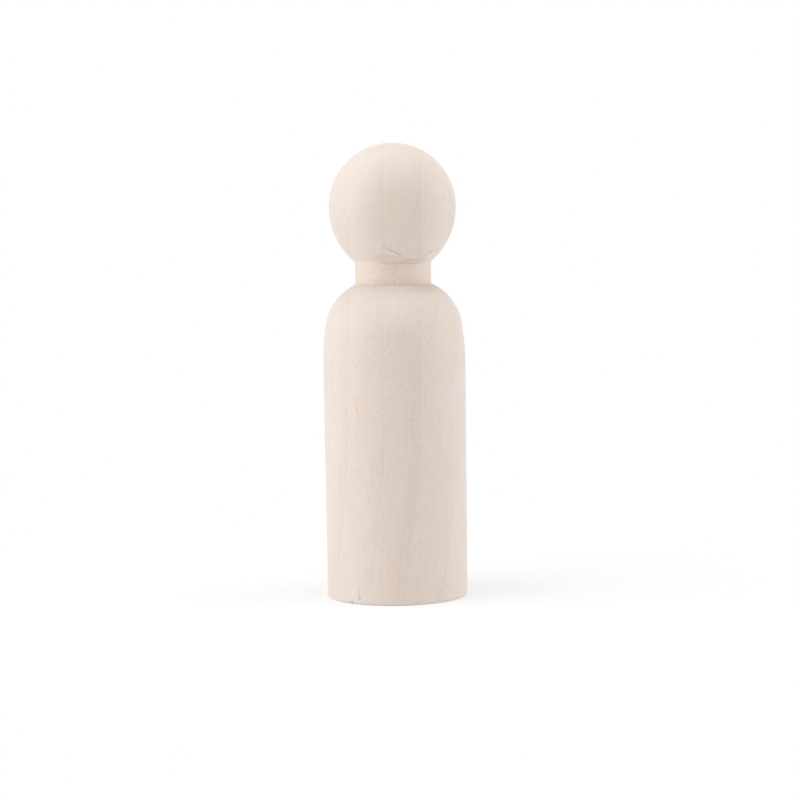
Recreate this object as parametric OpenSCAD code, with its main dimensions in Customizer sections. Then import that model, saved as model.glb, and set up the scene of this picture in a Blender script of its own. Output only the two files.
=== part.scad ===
// Peg doll: a bare wooden figure turned in one piece from a length of dowel, with a round head,
// a short straight neck, sloping shoulders and a nearly straight body that stands on a flat base.
// The half outline is turned about the Z axis. It climbs from the base to the crown in lines and arcs
// that run smoothly into each other, with small fillets at the two corners of the neck.

/* [Overall] */
// Height from the base to the crown
overall_height = 90; // [65:0.5:140]

/* [Head] */
// Diameter of the head at its widest
head_d = 25.2; // [20:0.1:32]
// Depth from the head's widest part down to the chin, where it meets the neck
chin_depth = 10.9; // [8:0.1:13]

/* [Neck] */
// Diameter of the neck
neck_d = 15.1; // [11:0.1:19]
// Length of the neck, from the shoulders up to the chin
neck_length = 4.3; // [2:0.1:12]
// Radius of the fillets where the neck meets the shoulders and the chin
neck_fillet_r = 0.4; // [0.1:0.05:0.8]

/* [Body] */
// Diameter at the belly, the fullest part of the body
belly_d = 28.3; // [25:0.1:32]
// Height of the shoulder curve, from where the flank turns over up to the neck
shoulder_rise = 8.2; // [7:0.1:12]
// Height of the flank's slow curve, from the belly up to the shoulder curve
flank_rise = 8.3; // [3:0.1:14]
// Radius of the flank's slow curve
flank_r = 62; // [45:1:120]

/* [Base] */
// Diameter of the base, across its sanded edge
base_d = 28; // [24:0.1:32]
// Width of the bevel sanded round the edge of the base
base_bevel = 0.4; // [0.1:0.05:2]

/* [Hidden] */
$fn = 180;

// Hair's breadth by which an arc is tucked under the next one, so that the two always cross
tuck = 0.001;

head_r = head_d / 2;
neck_r = neck_d / 2;
belly_r = belly_d / 2;
base_r = base_d / 2;

// Heights are stepped down from the crown, so a taller doll gets a longer body
head_z = overall_height - head_r;
chin_z = head_z - chin_depth;
neck_foot_z = chin_z - neck_length;
shoulder_z = neck_foot_z - shoulder_rise;
belly_z = shoulder_z - flank_rise;

// Unit vector in the outline's plane, pointing outwards and raised by an angle
function outward(angle) = [cos(angle), sin(angle)];

// Radius of the arc that has the given normal at its first point and ends at a second point
function arc_radius(first, normal, end) = (end - first) * (end - first) / (2 * (first - end) * normal);

// Flank: a slow arc that leaves the belly upright and leans in towards the shoulder
flank_centre = [belly_r - flank_r, belly_z];
flank_lean = asin(flank_rise / flank_r);
flank_top = flank_centre + flank_r * outward(flank_lean);

// Shoulder: a quick arc that follows on from the flank and ends at the foot of the neck
shoulder_r = arc_radius(flank_top, outward(flank_lean), [neck_r, neck_foot_z]);
shoulder_centre = flank_top - shoulder_r * outward(flank_lean);

// Jaw: the head below its widest part, an arc that leaves it upright and ends at the top of the neck
jaw_r = arc_radius([head_r, head_z], outward(0), [neck_r, chin_z]);
jaw_centre = [head_r - jaw_r, head_z];

// The part of a disc that lies outside the axis and between two heights
module disc_slice(centre, radius, bottom, top) {
    intersection() {
        translate(centre) circle(r = radius);
        translate([0, bottom]) square([2 * radius, top - bottom]);
    }
}

// Fillet between the neck and an arc that ends on it, above the arc where side is 1 and below it where -1
module neck_fillet(arc_centre, arc_r, side) {
    reach = arc_r + neck_fillet_r - tuck;
    centre_x = neck_r + neck_fillet_r - tuck;
    across = centre_x - arc_centre.x;
    centre = [centre_x, arc_centre.y + side * sqrt(reach * reach - across * across)];
    root = centre + 2 * neck_fillet_r * (arc_centre - centre) / reach;
    low = side > 0 ? root : centre;
    high = side > 0 ? centre : root;
    difference() {
        polygon([[0, low.y], low, high, [0, high.y]]);
        translate(centre) circle(r = neck_fillet_r);
    }
}

// Half outline of the body: a bevelled base, a side that widens to the belly, the flank and the shoulder
module body_outline() {
    polygon([[0, 0], [base_r - base_bevel, 0], [base_r, base_bevel], [belly_r, belly_z], [0, belly_z]]);
    disc_slice(flank_centre, flank_r, belly_z, shoulder_z);
    disc_slice(shoulder_centre, shoulder_r + tuck, belly_z, chin_z);
}

// Half outline of the neck, which runs on inside the shoulders and the head
module neck_outline() {
    translate([0, shoulder_z]) square([neck_r, head_z - shoulder_z]);
    neck_fillet(shoulder_centre, shoulder_r, 1);
    neck_fillet(jaw_centre, jaw_r, -1);
}

// Half outline of the head: a round crown over the slightly longer jaw
module head_outline() {
    disc_slice([0, head_z], head_r, chin_z, overall_height);
    disc_slice(jaw_centre, jaw_r - tuck, neck_foot_z, head_z);
}

// The whole doll, turned from one piece of pale wood
module turned_doll() {
    color("AntiqueWhite") rotate_extrude() {
        body_outline();
        neck_outline();
        head_outline();
    }
}

turned_doll();
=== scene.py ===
from math import asin, atan2, cos, degrees, exp, pi, radians, sin

import bpy
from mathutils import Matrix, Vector, geometry, noise


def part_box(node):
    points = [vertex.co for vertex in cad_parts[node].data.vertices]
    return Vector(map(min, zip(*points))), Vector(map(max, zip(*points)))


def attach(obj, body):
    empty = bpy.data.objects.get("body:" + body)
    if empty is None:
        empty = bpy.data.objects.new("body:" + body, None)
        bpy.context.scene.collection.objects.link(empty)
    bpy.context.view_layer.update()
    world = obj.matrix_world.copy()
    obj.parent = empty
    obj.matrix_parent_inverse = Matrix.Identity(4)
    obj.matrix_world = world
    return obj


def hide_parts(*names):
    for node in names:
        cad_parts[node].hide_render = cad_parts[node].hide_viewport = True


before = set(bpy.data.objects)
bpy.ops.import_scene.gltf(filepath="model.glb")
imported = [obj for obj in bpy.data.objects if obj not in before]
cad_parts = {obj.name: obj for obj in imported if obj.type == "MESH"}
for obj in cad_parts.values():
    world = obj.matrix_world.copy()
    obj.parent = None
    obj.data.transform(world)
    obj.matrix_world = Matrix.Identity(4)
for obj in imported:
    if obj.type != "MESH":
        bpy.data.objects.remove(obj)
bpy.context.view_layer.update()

# Turned doll
# One piece of pale close-grained wood, turned from a dowel with a form knife: head, neck and body in one.
# It is sanded on the lathe, left bare, and stands free on the flat end where it was parted off.

overall_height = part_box("turned_doll")[1].z
belly_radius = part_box("turned_doll")[1].x
head_radius = 0.0126
chin_depth = 0.0109
neck_radius = 0.00755
neck_length = 0.0043
neck_fillet = 0.0004
shoulder_rise = 0.0082
flank_rise = 0.0083
flank_radius = 0.062
base_radius = 0.014
base_edge = 0.0004
coarse_facet = 0.0009
fine_facet = 0.0003
fillet_facet = 0.0001
seam_gap = 0.00001
turning_steps = 240

head_z = overall_height - head_radius
chin_z = head_z - chin_depth
neck_foot_z = chin_z - neck_length
shoulder_z = neck_foot_z - shoulder_rise
belly_z = shoulder_z - flank_rise


def outward(angle):
    return Vector((cos(angle), 0, sin(angle)))


# Radius of the arc that has the given normal at its first point and runs to the end
def arc_radius(first, normal, end):
    return (end - first).length_squared / (2 * (first - end).dot(normal))


flank_centre = Vector((belly_radius - flank_radius, 0, belly_z))
flank_lean = asin(flank_rise / flank_radius)
flank_top = flank_centre + flank_radius * outward(flank_lean)
neck_foot = Vector((neck_radius, 0, neck_foot_z))
shoulder_radius = arc_radius(flank_top, outward(flank_lean), neck_foot)
shoulder_centre = flank_top - shoulder_radius * outward(flank_lean)
jaw_radius = arc_radius(Vector((head_radius, 0, head_z)), outward(0), Vector((neck_radius, 0, chin_z)))
jaw_centre = Vector((head_radius - jaw_radius, 0, head_z))


# Centre of the fillet between the neck and an arc, above the arc where side is 1 and below it where -1
def neck_fillet_centre(arc_centre, radius, side):
    reach = radius + neck_fillet
    across = neck_radius + neck_fillet - arc_centre.x
    return Vector((neck_radius + neck_fillet, 0, arc_centre.z + side * (reach**2 - across**2) ** 0.5))


low_fillet = neck_fillet_centre(shoulder_centre, shoulder_radius, 1)
high_fillet = neck_fillet_centre(jaw_centre, jaw_radius, -1)
low_normal = (low_fillet - shoulder_centre).normalized()
high_normal = (high_fillet - jaw_centre).normalized()

# The pen is the end of the half outline, which is drawn from the middle of the base up to the crown
pen = Vector((0, 0, 0))


def draw_line(end, facet):
    reach = end - pen
    steps = max(1, round(reach.length / facet))
    bpy.ops.mesh.extrude_repeat(steps=steps, offset=reach / steps)
    pen[:] = end


def draw_arc(centre, sweep, facet):
    spoke = pen - centre
    heading = atan2(spoke.z, spoke.x) + sweep
    steps = max(2, round(abs(sweep) * spoke.length / facet))
    bpy.ops.mesh.spin(steps=steps, angle=sweep, center=centre, axis=(0, 1, 0))
    pen[:] = centre + spoke.length * outward(heading)


bpy.ops.object.select_all(action="DESELECT")
bpy.ops.mesh.primitive_plane_add(size=fine_facet, location=pen)
doll = bpy.context.object
doll.name = "bare_wood_doll"
bpy.ops.object.mode_set(mode="EDIT")
bpy.ops.mesh.merge(type="CENTER")
draw_line(Vector((base_radius - base_edge, 0, 0)), coarse_facet)
draw_line(Vector((base_radius, 0, base_edge)), fine_facet)
draw_line(Vector((belly_radius, 0, belly_z)), coarse_facet)
draw_arc(flank_centre, flank_lean, coarse_facet)
draw_arc(shoulder_centre, asin(low_normal.z) - flank_lean, fine_facet)
draw_arc(low_fillet, -asin(low_normal.z), fillet_facet)
draw_line(Vector((neck_radius, 0, high_fillet.z)), fine_facet)
draw_arc(high_fillet, asin(high_normal.z), fillet_facet)
draw_arc(jaw_centre, -asin(high_normal.z), fine_facet)
draw_arc(Vector((0, 0, head_z)), pi / 2, fine_facet)
bpy.ops.mesh.select_all(action="SELECT")
bpy.ops.mesh.spin(steps=turning_steps, angle=2 * pi, center=(0, 0, 0), axis=(0, 0, 1))
bpy.ops.mesh.select_all(action="SELECT")
bpy.ops.mesh.remove_doubles(threshold=seam_gap)
bpy.ops.mesh.normals_make_consistent(inside=False)
bpy.ops.object.mode_set(mode="OBJECT")

# Torn grain under the chin
# Where the knife cut against the grain it lifted the fibres: a curved split with a raised lip at both ends
# and a shallow scoop under each half. The marks are pressed into the wood of the doll itself. The lip is
# also painted pale, a painted highlight where it catches the light, and the scoops are painted tan, painted
# shade under the chin.

# Course of the split: the bearing in degrees, rightwards from the front, and the height above the chin
split_course = (
    (-10, 0.0028), (-6, 0.0023), (-1.5, 0.00195), (3, 0.0016), (7, 0.00125), (11, 0.0009), (15, 0.0006),
    (22, 0.0003), (34, 0.00015), (42, 0.0004), (46, 0.001), (50, 0.0014), (56, 0.0018), (63, 0.0022))

# Three values give a stretch of a mark: where it starts, where it ends and how softly it fades there. Two
# give a change: where it begins and where it is complete. Both are in degrees round the doll, or in metres.
split_depth = 0.00013
split_lift = 0.00012
split_width = 0.0002
split_ragged = 0.0008
split_left_end = (-6, 8, 5)
split_right_end = (48, 61, 3)
split_shut_share = 0.35

lip_rise = 0.00028
lip_drop = 0.0003
lip_width = 0.00024
lip_widening = 0.0001
lip_ragged = 0.0006
lip_left_end = (-5, 4, 3)
lip_left_share = 0.8
lip_tail = (4, 13, 3)
lip_tail_share = 0.4
lip_right_end = (49, 60, 3)
lip_climbs = (0, 15)
lip_drops_again = (34, 46)
lip_widens = (34, 50)

scoop_depth = 0.00014
scoop_foot_z = chin_z - 0.0001
left_scoop_round = (-18, 8, 12)
left_scoop_height = (scoop_foot_z, chin_z + 0.001, 0.0004)
left_scoop_under_split = (0.0001, 0.0006)
left_scoop_share = 0.5
# The scoops' shares also set the tan painted into them, which is painted shade under the chin
right_scoop_round = (18, 46, 14)
right_scoop_height = (scoop_foot_z, chin_z + 0.0002, 0.0004)
right_scoop_share = 0.8

neck_zone_left = -58
neck_zone_right = 75
neck_zone_foot = neck_foot_z - 0.001
neck_zone_top = chin_z + 0.0033
tear_zone_left = -15
tear_zone_right = 68
tear_zone_foot = chin_z - 0.001
tear_zone_top = chin_z + 0.004
tear_zone_reach = 0.0009
ragged_level = 0.75
ragged_swing = 0.5
least_weight = 0.002


def bearing(place):
    return degrees(atan2(place.x, -place.y))


def on_jaw(angle, height):
    reach = jaw_centre.x + (jaw_radius**2 - (height - head_z) ** 2) ** 0.5
    return Vector((reach * sin(radians(angle)), -reach * cos(radians(angle)), height))


split = [on_jaw(angle, chin_z + height) for angle, height in split_course]


# Distance from the split, negative below it, and the bearing of its nearest point
def off_split(place):
    best = None
    for start, end in zip(split, split[1:]):
        near, share = geometry.intersect_point_line(place, start, end)
        share = min(max(share, 0), 1)
        near = start + share * (end - start)
        gap = (place - near).length
        if best is None or gap < best[0]:
            best = (gap, place.z - near.z, bearing(near))
    gap, above, angle = best
    return (gap if above > 0 else -gap), angle


def refine(inside, cuts, roundness):
    bpy.ops.object.mode_set(mode="EDIT")
    bpy.ops.mesh.select_mode(type="FACE")
    bpy.ops.mesh.select_all(action="DESELECT")
    bpy.ops.object.mode_set(mode="OBJECT")
    for face in doll.data.polygons:
        face.select = inside(face.center)
    bpy.ops.object.mode_set(mode="EDIT")
    bpy.ops.mesh.subdivide(number_cuts=cuts, smoothness=roundness)
    bpy.ops.object.mode_set(mode="OBJECT")


def round_the_neck(place):
    at_height = neck_zone_foot < place.z < neck_zone_top
    return at_height and neck_zone_left < bearing(place) < neck_zone_right


def beside_the_split(place):
    at_height = tear_zone_foot < place.z < tear_zone_top
    in_front = at_height and tear_zone_left < bearing(place) < tear_zone_right
    return in_front and abs(off_split(place)[0]) < tear_zone_reach


def hump(value, middle, width):
    return exp(-((value - middle) / width) ** 2)


def ramp(value, start, end):
    share = min(max((value - start) / (end - start), 0), 1)
    return share * share * (3 - 2 * share)


def window(value, low, high, edge):
    return ramp(value, low - edge, low) * (1 - ramp(value, high, high + edge))


# Uneven strength of a torn mark, in patches of the given size
def ragged(place, size):
    return ragged_level + ragged_swing * noise.noise(place / size)


# Gives each point its share of a mark, and keeps the shares to colour the wood by the mark
def weigh(name, inside, amount, stained=True):
    shares = [amount(vertex.co) if inside(vertex.co) else 0 for vertex in doll.data.vertices]
    group = doll.vertex_groups.new(name=name)
    for index, share in enumerate(shares):
        if share > least_weight:
            group.add([index], min(share, 1), "REPLACE")
    if stained:
        stain = doll.data.attributes.new(name=name + "_stain", type="FLOAT", domain="POINT")
        stain.data.foreach_set("value", shares)


# Raises or sinks a mark by its height, evenly or by a texture that is level at its middle value
def press(name, height, texture=None, middle=0, along="NORMAL"):
    modifier = doll.modifiers.new(name, "DISPLACE")
    modifier.vertex_group = name
    modifier.strength = height
    modifier.mid_level = middle
    modifier.direction = along
    if texture:
        modifier.texture = texture
        modifier.texture_coords = "LOCAL"
    bpy.ops.object.modifier_apply(modifier=name)


def split_amount(place):
    gap, angle = off_split(place)
    gape = max(window(angle, *split_left_end), window(angle, *split_right_end))
    strength = split_shut_share + (1 - split_shut_share) * gape
    return strength * hump(gap, split_lift, split_width) * ragged(place, split_ragged)


def lip_amount(place):
    gap, angle = off_split(place)
    left = lip_left_share * window(angle, *lip_left_end)
    tail = lip_tail_share * window(angle, *lip_tail)
    strength = max(left, window(angle, *lip_right_end), tail)
    drop = lip_drop * (1 - ramp(angle, *lip_climbs) * (1 - ramp(angle, *lip_drops_again)))
    width = lip_width + lip_widening * ramp(angle, *lip_widens)
    return strength * hump(gap, -drop, width) * ragged(place, lip_ragged)


def scoop_amount(place):
    below = -off_split(place)[0]
    left = window(bearing(place), *left_scoop_round) * window(place.z, *left_scoop_height)
    right = window(bearing(place), *right_scoop_round) * window(place.z, *right_scoop_height)
    return max(left_scoop_share * left * ramp(below, *left_scoop_under_split), right_scoop_share * right)


refine(round_the_neck, cuts=1, roundness=1)
refine(beside_the_split, cuts=1, roundness=1)
refine(beside_the_split, cuts=1, roundness=1)
weigh("torn_split", beside_the_split, split_amount)
weigh("torn_lip", beside_the_split, lip_amount)
weigh("torn_scoop", round_the_neck, scoop_amount)
press("torn_split", -split_depth)
press("torn_lip", lip_rise)
press("torn_scoop", -scoop_depth)

# Knife corners and fuzz of the neck
# The point of the knife scored the two corners of the neck at the front, and the blunt end of its cut
# left a fuzz of lifted fibres that the sandpaper didn't reach.

score_width = 0.00016
foot_score_z = neck_foot_z - 0.00018
foot_score_round = (-26, 66, 8)
foot_score_depth = 0.00016
chin_score_z = chin_z - 0.0003
chin_score_round = (-10, 32, 14)
chin_score_depth = 0.00011
fuzz_rise = 0.00014
fuzz_level = 0.5
fuzz_round = (-42, 18, 18)
fuzz_height = (neck_foot_z, chin_z - 0.0006, 0.0003)
low_fuzz_round = (-50, -22, 8)
low_fuzz_height = (neck_foot_z - 0.0008, neck_foot_z + 0.0004, 0.0003)

lifted_fibres = bpy.data.textures.new("lifted_fibres", "CLOUDS")
lifted_fibres.noise_scale = 0.0002
lifted_fibres.noise_depth = 2


def foot_score_amount(place):
    return window(bearing(place), *foot_score_round) * hump(place.z, foot_score_z, score_width)


def chin_score_amount(place):
    return window(bearing(place), *chin_score_round) * hump(place.z, chin_score_z, score_width)


def fuzz_amount(place):
    on_neck = window(bearing(place), *fuzz_round) * window(place.z, *fuzz_height)
    on_shoulder = window(bearing(place), *low_fuzz_round) * window(place.z, *low_fuzz_height)
    return max(on_neck, on_shoulder)


weigh("foot_score", round_the_neck, foot_score_amount)
weigh("chin_score", round_the_neck, chin_score_amount)
weigh("neck_fuzz", round_the_neck, fuzz_amount)
press("foot_score", -foot_score_depth)
press("chin_score", -chin_score_depth)
press("neck_fuzz", fuzz_rise, lifted_fibres, fuzz_level)

# Nick and drying check at the base
# A small nick is broken out of the sharp edge of the base, left of the front. Beside it a short check runs
# up the grain from a little pit, where the wood shrank as it dried.

nick_bearing = -39.5
nick_z = 0.0001
nick_width = 0.00036
nick_depth = 0.0004
nick_ragged = 0.0004
nick_zone_reach = 0.0014
check_bearing = -31.8
check_foot = 0.0012
check_top = 0.0034
check_fade = 0.0003
check_width = 0.00016
check_depth = 0.00016
check_shallow_share = 0.5
pit_z = check_foot + 0.0002
pit_height = 0.0003
pit_widening = 0.0001
check_zone_side = 4
check_zone_foot = check_foot - 0.0008
check_zone_top = check_top + 0.0008

nick_toward = radians(nick_bearing)
nick_place = Vector((base_radius * sin(nick_toward), -base_radius * cos(nick_toward), nick_z))


def beside_the_nick(place):
    return (place - nick_place).length < nick_zone_reach


def nick_amount(place):
    return hump((place - nick_place).length, 0, nick_width) * ragged(place, nick_ragged)


def beside_the_check(place):
    at_side = abs(bearing(place) - check_bearing) < check_zone_side
    return at_side and check_zone_foot < place.z < check_zone_top


def check_amount(place):
    aside = base_radius * radians(bearing(place) - check_bearing)
    pit = hump(place.z, pit_z, pit_height)
    strength = check_shallow_share + (1 - check_shallow_share) * pit
    width = check_width + pit_widening * pit
    return strength * hump(aside, 0, width) * window(place.z, check_foot, check_top, check_fade)


refine(beside_the_nick, cuts=2, roundness=0)
refine(beside_the_nick, cuts=1, roundness=0)
refine(beside_the_check, cuts=3, roundness=0)
weigh("base_nick", beside_the_nick, nick_amount)
weigh("base_check", beside_the_check, check_amount)
press("base_nick", -nick_depth)
press("base_check", -check_depth)

# Parted end of the base
# The end was parted off a little out of true. Right of the middle it rises, to a third of a millimetre at
# the rim, and the doll stands on the rest of it.

end_rise = 0.00033
end_zone_top = 0.004


def near_the_end(place):
    return place.x > 0 and place.z < end_zone_top


def off_true_amount(place):
    return (place.x / base_radius) ** 2 * (1 - ramp(place.z, base_edge, end_zone_top))


weigh("off_true", near_the_end, off_true_amount, stained=False)
press("off_true", end_rise, along="Z")

# Hand-sanded unevenness
# The turned wood was sanded by hand. Sandpaper takes a little more off here and there, never more than a
# few hundredths of a millimetre, and it stays clear of the sharp edge of the base.

sanding_depth = 0.00004
smoothed_up_to = radians(40)

sanding = bpy.data.textures.new("sanding", "CLOUDS")
sanding.noise_scale = 0.009
sanding.noise_depth = 1


def above_the_base(place):
    return place.z > base_edge


def sanding_amount(place):
    return ramp(place.z, base_edge, end_zone_top)


weigh("sanding", above_the_base, sanding_amount, stained=False)
press("sanding", -sanding_depth, sanding)
bpy.ops.object.shade_smooth_by_angle(angle=smoothed_up_to)

# Bare wood
# The doll's own timber, sanded and without a finish: pale cream sapwood with faint growth rings, long fibres
# that lean near the base, fine pale and dark flecks, and a few warm streaks. Painted light and shade are
# added on the shoulders, the neck and the torn grain under the chin.

cream = (0.757, 0.667, 0.609, 1)
honey = (0.762, 0.649, 0.549, 1)
sapwood = (0.77, 0.69, 0.637, 1)
heart = (0.775, 0.635, 0.525, 1)
resin = (0.7, 0.47, 0.26, 1)
# Painted light: the paler colour put on the neck
painted_neck_light = (0.808, 0.695, 0.595, 1)
tan = (0.62, 0.505, 0.415, 1)
# Painted shade: the tan put into the scoops under the chin
painted_scoop_shade_tan = (0.62, 0.48, 0.4, 1)
amber = (0.56, 0.395, 0.26, 1)
pale = (0.83, 0.75, 0.68, 1)
# Painted highlight: the pale put on the raised lip of the split
painted_lip_highlight = (0.93, 0.785, 0.615, 1)
brown = (0.25, 0.15, 0.09, 1)

wood = bpy.data.materials.new("bare_wood")
wood.use_nodes = True
wood_shader = wood.node_tree.nodes["Principled BSDF"]

# The tree in hand, to which the next functions add their nodes
tree = wood.node_tree


def feed(value, socket):
    if isinstance(value, bpy.types.NodeSocket):
        tree.links.new(value, socket)
    else:
        socket.default_value = value


def put(kind, inputs=(), **settings):
    made = tree.nodes.new("ShaderNode" + kind)
    for name, value in settings.items():
        setattr(made, name, value)
    for socket, value in dict(inputs).items():
        feed(value, made.inputs[socket])
    return made


def work(operation, *values):
    return put("Math", enumerate(values), operation=operation).outputs[0]


def times(product, *factors):
    for factor in factors:
        product = work("MULTIPLY", product, factor)
    return product


def spread(value, low, high, new_low=0, new_high=1, kind="SMOOTHSTEP"):
    limits = {"Value": value, "From Min": low, "From Max": high, "To Min": new_low, "To Max": new_high}
    return put("MapRange", limits, interpolation_type=kind).outputs["Result"]


# A stretch that comes up from low to full and goes again from fading to gone
def band(value, low, full, fading, gone):
    return times(spread(value, low, full), spread(value, fading, gone, 1, 0))


# The two colours and their share have the same socket names as other kinds of mix, so they go by number
def tint(under, over, share):
    mix = put("Mix", {0: share, 6: under, 7: over}, data_type="RGBA")
    return mix.outputs[2]


def stain_of(name):
    return put("Attribute", attribute_name=name + "_stain").outputs["Fac"]


# Grain directions: the fibres run up the doll, lean to the side near its base and wander a little
lean_top = 0.032
lean_at_base = 0.0032
wander_width = 0.0012
wander_stretch = (1, 1, 0.25)
wander_scale = 70

spot = put("TexCoord").outputs["Object"]
axes = put("SeparateXYZ", {"Vector": spot}).outputs
right = axes["X"]
back = axes["Y"]
up = axes["Z"]
round_angle = work("ARCTAN2", right, work("MULTIPLY", back, -1))
long_spot = put("Mapping", {"Vector": spot, "Scale": wander_stretch}).outputs["Vector"]
wander = put("TexNoise", {"Vector": long_spot, "Scale": wander_scale, "Detail": 2}).outputs["Fac"]
drift = spread(wander, 0, 1, -wander_width, wander_width, "LINEAR")
across = work("ADD", work("ADD", right, spread(up, 0, lean_top, lean_at_base, 0)), drift)


def grain(size, stretch, detail=2, roughness=0.5):
    place = put("CombineXYZ", {"X": across, "Y": back, "Z": work("MULTIPLY", up, stretch)}).outputs["Vector"]
    cloud = {"Vector": place, "Scale": 1 / size, "Detail": detail, "Roughness": roughness}
    return put("TexNoise", cloud).outputs["Fac"]


fibre = grain(size=0.0006, stretch=0.03, detail=3, roughness=0.6)
fine_fibre = grain(size=0.00018, stretch=0.06)
fleck = grain(size=0.00024, stretch=0.4)
fleck_cloud = grain(size=0.0035, stretch=0.45, detail=1)
mottle = grain(size=0.006, stretch=0.35)
blotch = grain(size=0.0045, stretch=0.65, detail=1)
vein = grain(size=0.0011, stretch=0.02, detail=1)
dots = grain(size=0.00035, stretch=0.8, detail=1)
mottle_share = 0.5
vein_share = 0.5
warmth = work("ADD", times(mottle, mottle_share), times(vein, vein_share))

# Growth rings: the doll was cut well away from the pith of the tree, which lies to its left
pith = -0.09
ring_width = 0.0072
ring_shift = 0.0046
ring_end = (0.965, 0.999)
late_wood_start = (0.45, 0.92)
late_wood_shares = (0.04, 0.16)
ring_line_start = (0.9, 0.965)
ring_line_share = 0.1
broken_up = (0.35, 0.6)

to_pith = work("SUBTRACT", across, pith)
from_pith = work("SQRT", work("ADD", times(to_pith, to_pith), times(back, back)))
ring = work("FRACT", work("DIVIDE", work("ADD", from_pith, ring_shift), ring_width))
late_wood = times(band(ring, *late_wood_start, *ring_end), spread(mottle, *broken_up, *late_wood_shares))
ring_line = times(band(ring, *ring_line_start, *ring_end), spread(dots, *broken_up), ring_line_share)

# Tones of the grain: the colour, the pattern that carries it, where in the pattern it starts, where it is
# full, and its share of the colour there
broad_tones = (
    (sapwood, across, 0.0085, 0.0135, 0.6),
    (honey, warmth, 0.36, 0.64, 0.45),
    (honey, blotch, 0.42, 0.6, 0.45))
fibre_tones = (
    (tan, fibre, 0.48, 0.75, 0.16),
    (pale, fibre, 0.5, 0.25, 0.14),
    (honey, vein, 0.6, 0.72, 0.3),
    (tan, fine_fibre, 0.5, 0.75, 0.1))

colour = cream
for tone, pattern, start, full, share in broad_tones:
    colour = tint(colour, tone, spread(pattern, start, full, 0, share))
colour = tint(colour, tan, late_wood)
colour = tint(colour, amber, ring_line)
for tone, pattern, start, full, share in fibre_tones:
    colour = tint(colour, tone, spread(pattern, start, full, 0, share))

# Flecks: they come in faint clouds, a little weaker on the head and low on the body
cloud_limits = (0.4, 0.62)
cloud_shares = (0.44, 0.7)
pale_fleck = (0.54, 0.7)
dark_fleck = (0.46, 0.3)
dark_fleck_share = 0.75
head_fades = (chin_z - 0.0005, chin_z + 0.0035)
head_share = 0.66
body_fades = (0.028, 0.046)
low_share = 0.8

fleck_share = times(spread(fleck_cloud, *cloud_limits, *cloud_shares), spread(up, *head_fades, 1, head_share))
fleck_share = times(fleck_share, spread(up, *body_fades, low_share, 1))
colour = tint(colour, pale, times(spread(fleck, *pale_fleck), fleck_share))
colour = tint(colour, tan, times(spread(fleck, *dark_fleck), fleck_share, dark_fleck_share))

# Streaks: both ends of a streak fade over more than half of its half length
streak_end_share = 0.4


# A soft streak up the doll, by the height of its middle, its half length, its bearing in degrees, its half
# width, the radius of the wood there and its slope to the right
def streak(height, half_length, at, half_width, reach, slope=0.0):
    climb = work("SUBTRACT", up, height)
    aside = work("MULTIPLY", work("SUBTRACT", round_angle, radians(at)), reach)
    aside = work("SUBTRACT", aside, work("MULTIPLY", climb, slope))
    side = spread(work("ABSOLUTE", aside), half_width, 0)
    ends = spread(work("ABSOLUTE", climb), half_length, half_length * streak_end_share)
    return times(side, ends)


# Warm bands: the height of the middle, half length, bearing, half width, slope and share of the colour
warm_bands = (
    (0.041, 0.0165, -24, 0.0026, 0.048, 0.55), (0.048, 0.0085, 4, 0.0026, 0, 0.55),
    (0.0365, 0.009, -2, 0.0026, 0.245, 0.55), (0.0765, 0.0065, 2, 0.0032, 0, 0.45),
    (0.077, 0.006, -23, 0.0028, 0, 0.4), (0.021, 0.0075, 17.5, 0.0017, 0.13, 0.4),
    (0.004, 0.0075, -3, 0.0045, 0, 0.4), (0.0205, 0.009, -41, 0.0013, 0.158, 0.4),
    (0.0265, 0.0065, 34.6, 0.0015, 0, 0.35))
uneven_limits = (0.3, 0.6)
uneven_least = 0.6

uneven = spread(mottle, *uneven_limits, uneven_least, 1)
for height, half_length, at, half_width, slope, share in warm_bands:
    reach = head_radius if height > neck_foot_z else belly_radius
    warm_band = streak(height, half_length, at, half_width, reach, slope)
    colour = tint(colour, heart, times(warm_band, uneven, share))

# Single marks: a pale patch on the front of the shoulders, which is painted light where they face up to the
# light, and of the timber a streak of gum and two pin knots
painted_shoulder_light_share = 0.5
gum_share = 0.45
knot_share = 0.3

painted_shoulder_light = streak(height=0.0568, half_length=0.0045, at=2, half_width=0.008, reach=belly_radius)
gum = streak(height=0.0384, half_length=0.0028, at=-31.4, half_width=0.0005, reach=belly_radius, slope=-0.22)
right_knot = streak(height=0.07847, half_length=0.0003, at=52.6, half_width=0.0003, reach=head_radius)
left_knot = streak(height=0.07492, half_length=0.00025, at=-32.2, half_width=0.00025, reach=head_radius)
# Painted light: the front of the shoulders is made paler
colour = tint(colour, pale, times(painted_shoulder_light, painted_shoulder_light_share))

# Neck: painted light and shade. The neck is painted paler, painted light against the shade of the head on it;
# the corner at its foot is painted darker, painted shade; and the shoulder at its foot is painted darker,
# most on the right, a painted shadow of the head.
painted_neck_light_height = (neck_foot_z - 0.002, neck_foot_z - 0.0007, chin_z, chin_z + 0.0015)
painted_neck_light_share = 0.7
foot_shade_height = (neck_foot_z - 0.0018, neck_foot_z - 0.0008, neck_foot_z, neck_foot_z + 0.001)
foot_shade_share = 0.11
painted_head_shadow_height = (neck_foot_z - 0.0025, neck_foot_z - 0.0008, neck_foot_z - 0.0005, neck_foot_z - 0.0001)
painted_head_shadow_round = (radians(5), radians(42), radians(80), radians(120))
painted_head_shadow_share = 0.3

# Painted light: the neck is made paler than the rest of the wood
colour = tint(colour, painted_neck_light, times(band(up, *painted_neck_light_height), painted_neck_light_share))
# Painted shade: the corner at the foot of the neck is made darker
colour = tint(colour, amber, times(band(up, *foot_shade_height), foot_shade_share))
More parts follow.
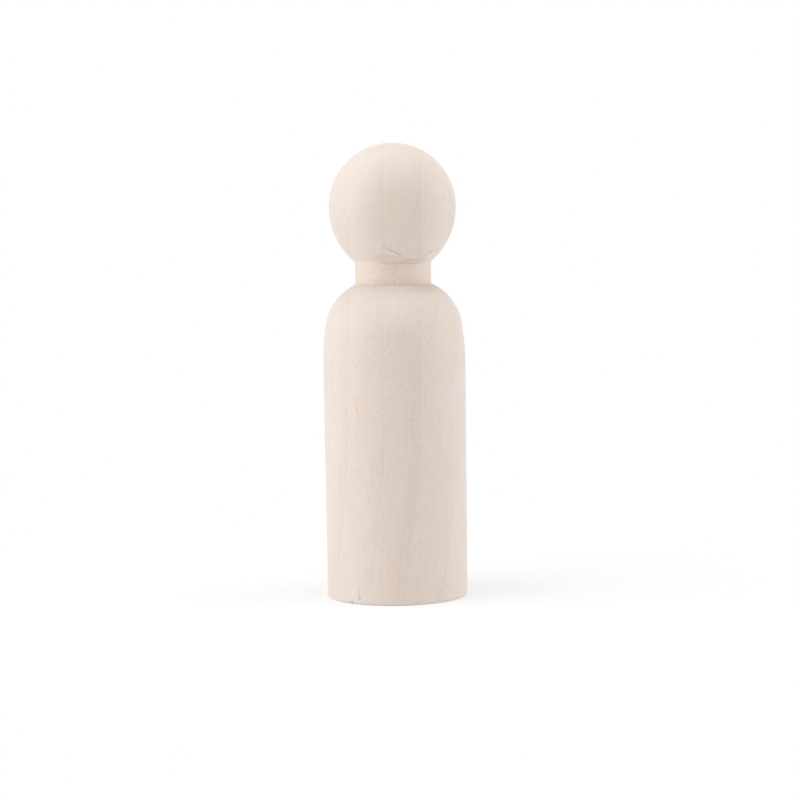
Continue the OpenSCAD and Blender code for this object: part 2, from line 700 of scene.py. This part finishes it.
# Painted shadow of the head: the shoulder at the foot of the neck is made darker, most on the right
colour = tint(colour, amber, times(band(up, *painted_head_shadow_height), band(round_angle, *painted_head_shadow_round), painted_head_shadow_share))
colour = tint(colour, resin, times(gum, spread(fine_fibre, *uneven_limits), gum_share))

# Colours of the pressed marks: the mark, the colour and its share where the mark is deepest. The tan in the
# scoops and the amber on the score lines are painted shade, the pale on the lip is a painted highlight, and
# the nick is painted dark brown.
check_darkens = (0.0026, check_foot)
check_shares = (0.2, 0.5)
dark_fuzz_limits = (0.48, 0.32)
dark_fuzz_share = 0.55
pale_fuzz_limits = (0.52, 0.68)
pale_fuzz_share = 0.8

check_darkness = spread(up, *check_darkens, *check_shares)
dark_fuzz = spread(fleck, *dark_fuzz_limits, 0, dark_fuzz_share)
pale_fuzz = spread(fleck, *pale_fuzz_limits, 0, pale_fuzz_share)
mark_colours_and_painted_light = (
    ("torn_scoop", painted_scoop_shade_tan, 0.5), ("neck_fuzz", tan, dark_fuzz), ("neck_fuzz", pale, pale_fuzz),
    # The amber on the two score lines is painted shade in the corners of the neck
    ("foot_score", amber, 0.35), ("chin_score", amber, 0.18), ("torn_split", brown, 0.32),
    ("torn_lip", painted_lip_highlight, 1), ("base_nick", brown, 0.95))

colour = tint(colour, brown, times(stain_of("base_check"), check_darkness))
colour = tint(colour, brown, times(work("MAXIMUM", right_knot, left_knot), knot_share))
for mark, stain, share in mark_colours_and_painted_light:
    colour = tint(colour, stain, times(stain_of(mark), share))
feed(colour, wood_shader.inputs["Base Color"])

# Feel of the surface: fine fibres and flecks stand up a little, and the end has the grooves of parting off
sheen = 0.2
fibre_limits = (0.3, 0.7)
fibre_roughness = (0.52, 0.66)
fibre_relief = 0.6
fleck_relief = 0.4
groove_relief = 0.5
groove_width = 0.0004
groove_wobble = 0.0012
groove_limits = (0.35, 0.65)
groove_least = 0.1
end_face_top = 0.00012
end_face_full = 0.00004
relief_strength = 0.5
relief_height = 0.00004

flat_spot = put("CombineXYZ", {"X": right, "Y": back}).outputs["Vector"]
off_axis = put("VectorMath", {0: flat_spot}, operation="LENGTH").outputs["Value"]
off_axis = work("ADD", off_axis, times(mottle, groove_wobble))
grooves = work("SINE", times(off_axis, 2 * pi / groove_width))
grooves = times(grooves, spread(blotch, *groove_limits, groove_least, 1))
end_grooves = times(grooves, spread(up, end_face_top, end_face_full), groove_relief)
relief = work("ADD", times(fine_fibre, fibre_relief), times(fleck, fleck_relief))
relief = work("ADD", relief, end_grooves)
bump = put("Bump", {"Height": relief, "Strength": relief_strength, "Distance": relief_height})
feed(spread(fine_fibre, *fibre_limits, *fibre_roughness), wood_shader.inputs["Roughness"])
feed(bump.outputs["Normal"], wood_shader.inputs["Normal"])
feed(sheen, wood_shader.inputs["Sheen Weight"])
doll.data.materials.append(wood)
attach(doll, "root")
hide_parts("turned_doll")

# Floor
# A white studio table that the doll stands on. It glows a little, like a light table, so it also lights the
# doll from below. It keeps the doll's soft shadow, and further out the camera sees it as pure white.

floor_size = 4
floor_colour = (0.6, 0.6, 0.6, 1)
pure_white = (1, 1, 1, 1)
light_table_glow = 0.35
floor_roughness = 0.9
shadow_reach = 0.03
white_from = 0.12

bpy.ops.object.select_all(action="DESELECT")
bpy.ops.mesh.primitive_plane_add(size=floor_size, location=(0, 0, 0))
floor = bpy.context.object
floor.name = "studio_floor"
white = bpy.data.materials.new("studio_white")
white.use_nodes = True
tree = white.node_tree
table = tree.nodes["Principled BSDF"]
feed(floor_colour, table.inputs["Base Color"])
feed(pure_white, table.inputs["Emission Color"])
feed(light_table_glow, table.inputs["Emission Strength"])
feed(floor_roughness, table.inputs["Roughness"])
away = put("VectorMath", {0: put("TexCoord").outputs["Object"]}, operation="LENGTH").outputs["Value"]
seen = put("LightPath").outputs["Is Camera Ray"]
fade = times(seen, spread(away, shadow_reach, white_from))
glow = put("Emission", {"Color": pure_white, "Strength": 1})
blend = put("MixShader", {0: fade, 1: table.outputs["BSDF"], 2: glow.outputs["Emission"]})
feed(blend.outputs["Shader"], tree.nodes["Material Output"].inputs["Surface"])
floor.data.materials.append(white)

# Lights
# Three large soft lamps stand to the left, to the right and above, aimed at the middle of the doll. The room
# is white: it lights the doll softly from all round, and reflections and the camera see it at full white.

lamp_distance = 0.7
room_light = 0.3


def soft_lamp(name, angle, rise, width, height, power, colour):
    aim = Vector((0, 0, overall_height / 2))
    toward = Vector((sin(angle) * cos(rise), -cos(angle) * cos(rise), sin(rise)))
    bpy.ops.object.light_add(type="AREA", location=aim + lamp_distance * toward)
    lamp = bpy.context.object
    lamp.name = name
    lamp.rotation_euler = (-toward).to_track_quat("-Z", "Y").to_euler()
    lamp.data.shape = "RECTANGLE"
    lamp.data.size = width
    lamp.data.size_y = height
    lamp.data.energy = power
    lamp.data.color = colour


soft_lamp("left_lamp", angle=radians(-75), rise=radians(20), width=0.9, height=0.6,
          power=2.98, colour=(1, 1.005, 1.03))
soft_lamp("right_lamp", angle=radians(90), rise=radians(10), width=0.6, height=0.6,
          power=2.37, colour=(1, 1, 1.035))
soft_lamp("top_lamp", angle=0, rise=radians(85), width=0.8, height=0.8,
          power=3.76, colour=(1, 1, 1))

room = bpy.data.worlds.new("white_room")
bpy.context.scene.world = room
room.use_nodes = True
tree = room.node_tree
backdrop = tree.nodes["Background"]
feed(pure_white, backdrop.inputs["Color"])
ray = put("LightPath").outputs
mirrored = work("MAXIMUM", ray["Is Glossy Ray"], ray["Is Transmission Ray"])
shows_room = work("MAXIMUM", ray["Is Camera Ray"], mirrored)
feed(spread(shows_room, 0, 1, room_light, 1, "LINEAR"), backdrop.inputs["Strength"])

# Camera
# It stands in front of the doll, level with the foot of the neck, and looks a few degrees down through a
# long lens, with a slight roll.

camera_place = (0.000996, -0.37725, 0.06215)
looks_down = 3.504
roll = -0.799
lens = 85.34
film_width = 36

bpy.ops.object.camera_add(location=camera_place)
camera = bpy.context.object
camera.rotation_mode = "ZYX"
camera.rotation_euler = (radians(90 - looks_down), 0, radians(roll))
camera.data.lens = lens
camera.data.sensor_width = film_width
bpy.context.scene.camera = camera
bpy.context.scene.view_settings.view_transform = "Standard"
